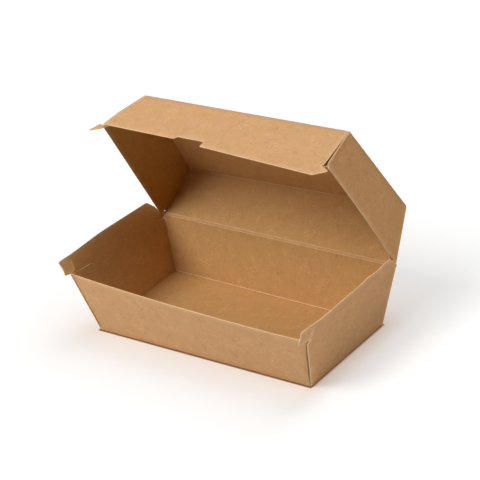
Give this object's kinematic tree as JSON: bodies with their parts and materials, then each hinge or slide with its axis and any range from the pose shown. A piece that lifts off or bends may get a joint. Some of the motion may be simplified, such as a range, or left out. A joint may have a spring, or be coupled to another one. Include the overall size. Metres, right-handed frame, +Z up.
{
  "type": "takeaway box",
  "caption": "Folded kraft board clamshell box: a tapered tray and a shallower hinged lid with locking ears and a thumb notch.",
  "frame": {"origin": "centre of the whole open box's bounding box, at the base face it stands on", "axes": "+X along the box's length, +Y from the front wall to the hinge crease, +Z up"},
  "size_m": [0.2124, 0.1457, 0.15],
  "materials": {
    "board": "uncoated brown kraft board"
  },
  "bodies": {
    "tray": {"tray": "board"},
    "lid": {"lid": "board"}
  },
  "joints": [
    {"name": "lid_hinge", "type": "hinge", "parent": "tray", "child": "lid", "pos_m": [0, 0.04351, 0.046], "axis": [-1, 0, 0], "range_deg": [-60, 120]}
  ]
}
